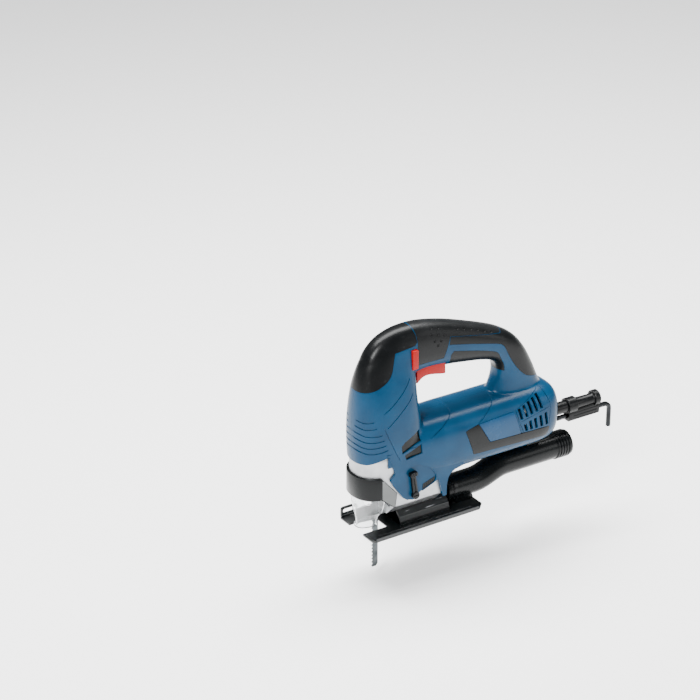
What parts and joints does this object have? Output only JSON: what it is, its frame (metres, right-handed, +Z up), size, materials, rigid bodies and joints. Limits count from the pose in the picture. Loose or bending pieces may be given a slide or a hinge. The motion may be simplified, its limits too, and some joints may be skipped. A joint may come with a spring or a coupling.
{
  "type": "corded jigsaw",
  "caption": "Bow-handle corded jigsaw in blue plastic and black rubber, with a tilting footplate, orbital blade drive, dust pipe, clear chip guard and hex key.",
  "frame": {"origin": "middle of the footplate's underside, on the tool's centre line", "axes": "+X along the tool from the blade towards the cord, +Y to the operator's right, +Z up out of the work"},
  "size_m": [0.3485, 0.0701, 0.282],
  "materials": {
    "blue_plastic": "satin",
    "rating_plate": "satin",
    "rubber": "matt",
    "black_plastic": "satin",
    "red_plastic": "satin",
    "cast_aluminium": "bead blasted",
    "clear_plastic": "clear",
    "black_steel": "painted",
    "copper": "bright",
    "steel": "machined"
  },
  "bodies": {
    "base": {"footplate": "black_steel"},
    "tool_body": {"gear_case": "cast_aluminium", "gear_cover": "cast_aluminium", "gear_axle": "steel", "lower_bush": "copper", "upper_bush": "copper", "field_core": "steel", "field_winding_front": "copper", "field_winding_rear": "copper", "front_bearing": "steel", "rear_bearing": "steel", "brush_left": "black_plastic", "brush_holder_left": "copper", "brush_right": "black_plastic", "brush_holder_right": "copper", "fork_pin": "steel", "housing_left": "blue_plastic", "housing_right": "blue_plastic", "housing_screw_1": "steel", "housing_screw_2": "steel", "housing_screw_3": "steel", "housing_screw_4": "steel", "housing_screw_5": "steel", "housing_screw_6": "steel", "front_grip": "rubber", "top_grip": "rubber", "rear_grip": "rubber", "lower_grip": "rubber", "side_band_left": "black_plastic", "rating_plate_left": "rating_plate", "side_band_right": "black_plastic", "rating_plate_right": "rating_plate", "switch_module": "black_plastic", "saddle_clamp": "steel", "saddle_screw": "steel", "cord_sleeve": "rubber", "key_holder": "rubber"},
    "dust_pipe": {"dust_pipe": "black_plastic"},
    "trigger": {"trigger": "red_plastic"},
    "lock_button": {"lock_button": "red_plastic"},
    "selector_lever": {"selector_lever": "black_plastic"},
    "release_lever": {"blade_release_lever": "black_plastic"},
    "chip_guard": {"chip_guard": "clear_plastic"},
    "plunger": {"plunger": "steel", "crank_pin": "steel", "blade_clamp": "steel", "blade": "steel"},
    "roller_fork": {"roller_fork": "steel", "roller_pin": "steel"},
    "guide_roller": {"guide_roller": "steel"},
    "drive_gear": {"drive_gear": "steel"},
    "armature": {"armature": "steel", "pinion": "steel", "commutator": "copper", "fan": "black_plastic"},
    "hex_key": {"hex_key": "steel"}
  },
  "joints": [
    {"name": "body_tilt", "type": "hinge", "parent": "base", "child": "tool_body", "pos_m": [0, 0, 0], "axis": [1, 0, 0], "range_deg": [-24, 24]},
    {"name": "pipe_pull", "type": "slide", "parent": "base", "child": "dust_pipe", "axis": [1, 0, 0], "range_m": [0, 0.055]},
    {"name": "trigger_press", "type": "slide", "parent": "tool_body", "child": "trigger", "axis": [0, 0, 1], "range_m": [0, 0.006], "stiffness_N_per_m": 1200, "springref_m": -0.003},
    {"name": "lock_press", "type": "slide", "parent": "tool_body", "child": "lock_button", "axis": [0, 1, 0], "range_m": [0, 0.003], "stiffness_N_per_m": 800, "springref_m": -0.002},
    {"name": "orbit_select", "type": "hinge", "parent": "tool_body", "child": "selector_lever", "pos_m": [-0.017, -0.031, 0.0425], "axis": [0, 1, 0], "range_deg": [0, 54]},
    {"name": "blade_release", "type": "hinge", "parent": "tool_body", "child": "release_lever", "pos_m": [-0.046, 0, 0.041], "axis": [0, 1, 0], "range_deg": [-22, 0], "stiffness_Nm_per_rad": 0.2, "springref_deg": 17.19},
    {"name": "guard_pull", "type": "slide", "parent": "tool_body", "child": "chip_guard", "axis": [-1, 0, 0], "range_m": [0, 0.05]},
    {"name": "stroke", "type": "slide", "parent": "tool_body", "child": "plunger", "axis": [0, 0, 1], "range_m": [-0.013, 0.013]},
    {"name": "orbit_swing", "type": "hinge", "parent": "tool_body", "child": "roller_fork", "pos_m": [-0.034, 0, 0.047], "axis": [0, 1, 0], "range_deg": [-4, 0], "stiffness_Nm_per_rad": 0.2, "springref_deg": 11.46},
    {"name": "roller_spin", "type": "hinge", "parent": "roller_fork", "child": "guide_roller", "pos_m": [-0.0382, 0, 0.018], "axis": [0, 1, 0], "continuous": true},
    {"name": "gear_spin", "type": "hinge", "parent": "tool_body", "child": "drive_gear", "pos_m": [-0.021, 0, 0.1135], "axis": [1, 0, 0], "continuous": true},
    {"name": "motor_spin", "type": "hinge", "parent": "tool_body", "child": "armature", "pos_m": [0.06, 0, 0.0865], "axis": [1, 0, 0], "continuous": true},
    {"name": "key_pull", "type": "slide", "parent": "tool_body", "child": "hex_key", "axis": [1, 0, 0], "range_m": [0, 0.08]}
  ],
  "couplings": [
    {"joint": "gear_spin", "follows": "motor_spin", "ratio": -0.18421}
  ]
}
